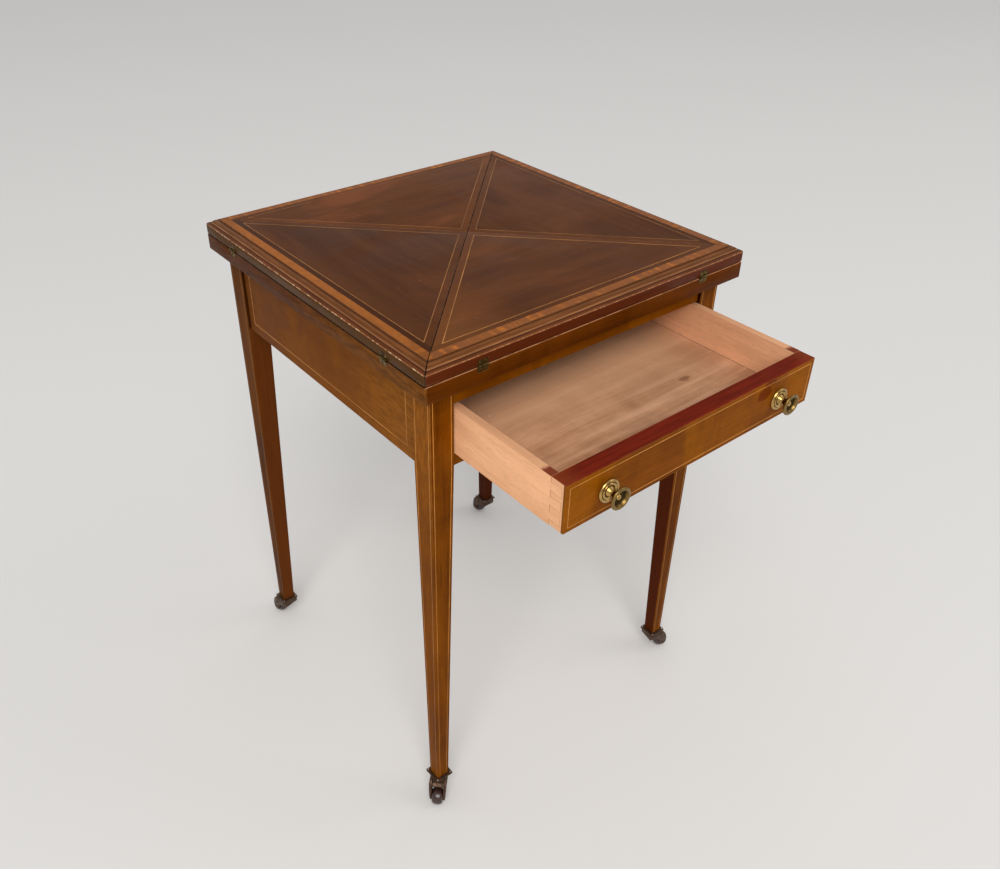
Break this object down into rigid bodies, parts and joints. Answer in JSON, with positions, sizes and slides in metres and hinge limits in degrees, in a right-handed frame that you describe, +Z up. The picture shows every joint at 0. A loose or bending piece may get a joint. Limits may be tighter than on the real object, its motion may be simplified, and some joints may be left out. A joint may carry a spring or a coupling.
{
  "type": "envelope card table",
  "caption": "Envelope card table: square inlaid top of hinged triangular leaves on a swivelling bed, over a frieze drawer and tapered legs on plate casters.",
  "frame": {"origin": "on the floor, under the middle of the whole part's box with the drawer drawn out as at rest; the table's own centre is 89.25 mm behind it", "axes": "+Z up, -Y towards the drawer's front, +X to the right of somebody facing the drawer"},
  "size_m": [0.5206, 0.6993, 0.756],
  "materials": {
    "top_mahogany": "polished, dark, with reddish patches and satinwood and boxwood inlay",
    "frame_mahogany": "French polished, orange-brown figured mahogany with boxwood stringing",
    "drawer_lining": "bare, pale pinkish tan, worn and lightly stained",
    "secondary_wood": "bare, planed",
    "green_baize": "short-napped wool cloth",
    "aged_brass": "turned and worn, golden on the high places and brown in the hollows",
    "dark_brass": "dark brown patina",
    "steel": "plain, dulled",
    "brown_wheel": "dark brown, glossy"
  },
  "bodies": {
    "frame": {"leg_front_left": "frame_mahogany", "leg_front_right": "frame_mahogany", "leg_back_left": "frame_mahogany", "leg_back_right": "frame_mahogany", "rail_left": "frame_mahogany", "rail_right": "frame_mahogany", "rail_back": "frame_mahogany", "rail_front_top": "frame_mahogany", "rail_front_bottom": "frame_mahogany", "drawer_runner_left": "secondary_wood", "drawer_runner_right": "secondary_wood", "pivot_board": "secondary_wood", "caster_plate_front_left": "dark_brass", "caster_plate_front_right": "dark_brass", "caster_plate_back_left": "dark_brass", "caster_plate_back_right": "dark_brass"},
    "top": {"bed_board": "top_mahogany", "bed_baize": "green_baize", "pivot_bolt": "steel", "pivot_nut": "steel", "stop_peg": "secondary_wood", "hinge_bed_half_front_1": "aged_brass", "hinge_bed_half_front_2": "aged_brass", "hinge_bed_half_right_1": "aged_brass", "hinge_bed_half_right_2": "aged_brass", "hinge_bed_half_back_1": "aged_brass", "hinge_bed_half_back_2": "aged_brass", "hinge_bed_half_left_1": "aged_brass", "hinge_bed_half_left_2": "aged_brass"},
    "front_leaf": {"leaf_front": "top_mahogany", "leaf_baize_front": "green_baize", "hinge_leaf_half_front_1": "aged_brass", "hinge_leaf_half_front_2": "aged_brass"},
    "right_leaf": {"leaf_right": "top_mahogany", "leaf_baize_right": "green_baize", "hinge_leaf_half_right_1": "aged_brass", "hinge_leaf_half_right_2": "aged_brass"},
    "back_leaf": {"leaf_back": "top_mahogany", "leaf_baize_back": "green_baize", "hinge_leaf_half_back_1": "aged_brass", "hinge_leaf_half_back_2": "aged_brass"},
    "left_leaf": {"leaf_left": "top_mahogany", "leaf_baize_left": "green_baize", "hinge_leaf_half_left_1": "aged_brass", "hinge_leaf_half_left_2": "aged_brass"},
    "drawer": {"drawer_front": "frame_mahogany", "drawer_side_left": "drawer_lining", "drawer_side_right": "drawer_lining", "drawer_back": "drawer_lining", "drawer_bottom": "drawer_lining", "knob_left": "aged_brass", "knob_right": "aged_brass"},
    "front_left_swivel": {"caster_horn_front_left": "dark_brass"},
    "front_left_wheel": {"caster_wheel_front_left": "brown_wheel"},
    "front_right_swivel": {"caster_horn_front_right": "dark_brass"},
    "front_right_wheel": {"caster_wheel_front_right": "brown_wheel"},
    "back_left_swivel": {"caster_horn_back_left": "dark_brass"},
    "back_left_wheel": {"caster_wheel_back_left": "brown_wheel"},
    "back_right_swivel": {"caster_horn_back_right": "dark_brass"},
    "back_right_wheel": {"caster_wheel_back_right": "brown_wheel"}
  },
  "joints": [
    {"name": "top_swivel", "type": "hinge", "parent": "frame", "child": "top", "pos_m": [0, 0.08925, 0.7118], "axis": [0, 0, 1], "range_deg": [0, 45]},
    {"name": "front_leaf_hinge", "type": "hinge", "parent": "top", "child": "front_leaf", "pos_m": [0, -0.16825, 0.7346], "axis": [1, 0, 0], "range_deg": [0, 180]},
    {"name": "right_leaf_hinge", "type": "hinge", "parent": "top", "child": "right_leaf", "pos_m": [0.2575, 0.08925, 0.7346], "axis": [0, 1, 0], "range_deg": [0, 180]},
    {"name": "back_leaf_hinge", "type": "hinge", "parent": "top", "child": "back_leaf", "pos_m": [0, 0.34675, 0.7346], "axis": [-1, 0, 0], "range_deg": [0, 180]},
    {"name": "left_leaf_hinge", "type": "hinge", "parent": "top", "child": "left_leaf", "pos_m": [-0.2575, 0.08925, 0.7346], "axis": [0, -1, 0], "range_deg": [0, 180]},
    {"name": "drawer_slide", "type": "slide", "parent": "frame", "child": "drawer", "axis": [0, -1, 0], "range_m": [-0.184, 0.116]},
    {"name": "front_left_caster_swivel", "type": "hinge", "parent": "frame", "child": "front_left_swivel", "pos_m": [-0.2295, -0.14025, 0.0457], "axis": [0, 0, 1], "continuous": true},
    {"name": "front_right_caster_swivel", "type": "hinge", "parent": "frame", "child": "front_right_swivel", "pos_m": [0.2295, -0.14025, 0.0457], "axis": [0, 0, 1], "continuous": true},
    {"name": "back_left_caster_swivel", "type": "hinge", "parent": "frame", "child": "back_left_swivel", "pos_m": [-0.2295, 0.31875, 0.0457], "axis": [0, 0, 1], "continuous": true},
    {"name": "back_right_caster_swivel", "type": "hinge", "parent": "frame", "child": "back_right_swivel", "pos_m": [0.2295, 0.31875, 0.0457], "axis": [0, 0, 1], "continuous": true},
    {"name": "front_left_wheel_spin", "type": "hinge", "parent": "front_left_swivel", "child": "front_left_wheel", "pos_m": [-0.24301, -0.15376, 0.01275], "axis": [-0.7071, 0.7071, 0], "continuous": true},
    {"name": "front_right_wheel_spin", "type": "hinge", "parent": "front_right_swivel", "child": "front_right_wheel", "pos_m": [0.24818, -0.14422, 0.01275], "axis": [-0.2079, -0.9781, 0], "continuous": true},
    {"name": "back_left_wheel_spin", "type": "hinge", "parent": "back_left_swivel", "child": "back_left_wheel", "pos_m": [-0.23347, 0.33743, 0.01275], "axis": [0.9781, 0.2079, 0], "continuous": true},
    {"name": "back_right_wheel_spin", "type": "hinge", "parent": "back_right_swivel", "child": "back_right_wheel", "pos_m": [0.2295, 0.33785, 0.01275], "axis": [1, 0, 0], "continuous": true}
  ]
}
